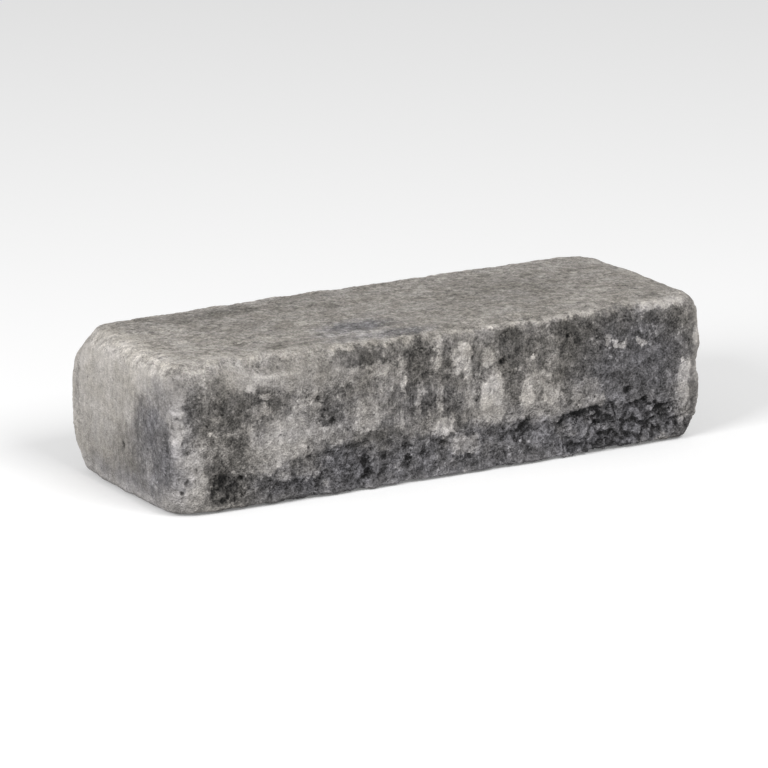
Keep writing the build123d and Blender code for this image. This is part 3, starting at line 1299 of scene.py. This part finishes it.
def floor_material(colour):
    """A pale floor that the camera sees almost white and that throws less light back on the block."""
    material = bpy.data.materials.new("pale_floor")
    material.use_nodes = True
    tree = material.node_tree
    shader = tree.nodes["Principled BSDF"]
    seen = add_node(tree, "ShaderNodeLightPath").outputs
    shown = calculate(tree, "MAXIMUM", seen["Is Camera Ray"], seen["Is Glossy Ray"])
    shown = calculate(tree, "MAXIMUM", shown, seen["Is Transmission Ray"])
    tint = add_node(
        tree,
        "ShaderNodeMix",
        {0: shown, 6: (0.35, 0.35, 0.35, 1.0), 7: (*colour, 1.0)},
        data_type="RGBA",
    )
    tree.links.new(tint.outputs[2], shader.inputs["Base Color"])
    shader.inputs["Emission Color"].default_value = (1.0, 1.0, 1.0, 1.0)
    tree.links.new(calculate(tree, "MULTIPLY", shown, 0.16), shader.inputs["Emission Strength"])
    shader.inputs["Roughness"].default_value = 0.9
    shader.inputs["Specular IOR Level"].default_value = 0.0
    return material


def light_world(strength):
    """Even light from all round, and a white background where the camera sees past the floor."""
    world = bpy.data.worlds.new("studio")
    bpy.context.scene.world = world
    world.use_nodes = True
    tree = world.node_tree
    tree.nodes.clear()
    seen = add_node(tree, "ShaderNodeLightPath").outputs
    shown = calculate(tree, "MAXIMUM", seen["Is Camera Ray"], seen["Is Glossy Ray"])
    shown = calculate(tree, "MAXIMUM", shown, seen["Is Transmission Ray"])
    light = blend_numbers(tree, shown, strength, 1.0)
    background = add_node(tree, "ShaderNodeBackground", {"Color": (1.0, 1.0, 1.0, 1.0), "Strength": light})
    output = add_node(tree, "ShaderNodeOutputWorld")
    tree.links.new(background.outputs["Background"], output.inputs["Surface"])


def hang_lamp(name, place, power):
    """A large soft lamp that looks at the block."""
    deselect_all()
    bpy.ops.object.light_add(type="AREA", location=place)
    lamp = bpy.context.object
    lamp.name = name
    lamp.data.size = LAMP_SIZE
    lamp.data.energy = power
    lamp.rotation_euler = (MIDDLE * MM - Vector(place)).to_track_quat("-Z", "Y").to_euler()


class STACKING_OT_set_stage(bpy.types.Operator):
    """Set up the floor, the lamps and the camera"""

    bl_idname = "stacking.set_stage"
    bl_label = "Set the Stage"

    def execute(self, context):
        stage = context.scene.block_stage
        deselect_all()
        bpy.ops.mesh.primitive_plane_add(size=FLOOR_SIZE)
        floor = context.object
        floor.name = "floor"
        floor.data.materials.append(floor_material(stage.floor))

        light_world(stage.sky)
        hang_lamp("side_lamp", SIDE_LAMP_PLACE, stage.side)
        hang_lamp("front_lamp", FRONT_LAMP_PLACE, stage.front)

        place = Vector(CAMERA_PLACE) * MM
        aim = (Vector(CAMERA_TARGET) * MM - place).to_track_quat("-Z", "Y")
        turn = aim @ Quaternion((0.0, 0.0, 1.0), math.radians(CAMERA_ROLL))
        deselect_all()
        bpy.ops.object.camera_add(location=place, rotation=turn.to_euler())
        camera = context.object
        camera.data.lens = stage.lens
        camera.data.sensor_width = 36.0
        context.scene.camera = camera
        context.scene.view_settings.view_transform = "Standard"
        return {"FINISHED"}


class STACKING_PT_block(bpy.types.Panel):
    """Lists the settings of the block and of the stage, each with the button that uses them"""

    bl_idname = "STACKING_PT_block"
    bl_label = "Stacking Block"
    bl_space_type = "VIEW_3D"
    bl_region_type = "UI"
    bl_category = "Block"

    def draw(self, context):
        layout = self.layout
        scene = context.scene
        rows = (
            (STACKING_OT_model_block, (scene.block_shape, scene.block_finish)),
            (STACKING_OT_set_stage, (scene.block_stage,)),
        )
        for operator, groups in rows:
            box = layout.box()
            for group in groups:
                for name in group.bl_rna.properties.keys():
                    if name not in ("rna_type", "name"):
                        box.prop(group, name)
            box.operator(operator.bl_idname)


CLASSES = (
    BlockShape,
    BlockFinish,
    BlockStage,
    STACKING_OT_model_block,
    STACKING_OT_set_stage,
    STACKING_PT_block,
)


def register():
    """Registers the classes and puts their settings in the scene."""
    for kind in CLASSES:
        bpy.utils.register_class(kind)
    bpy.types.Scene.block_shape = PointerProperty(type=BlockShape)
    bpy.types.Scene.block_finish = PointerProperty(type=BlockFinish)
    bpy.types.Scene.block_stage = PointerProperty(type=BlockStage)


def unregister():
    """Takes the settings and the classes away again."""
    del bpy.types.Scene.block_stage
    del bpy.types.Scene.block_finish
    del bpy.types.Scene.block_shape
    for kind in reversed(CLASSES):
        bpy.utils.unregister_class(kind)


def main():
    """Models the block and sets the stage."""
    register()
    bpy.ops.stacking.model_block()
    bpy.ops.stacking.set_stage()


if __name__ == "__main__":
    main()
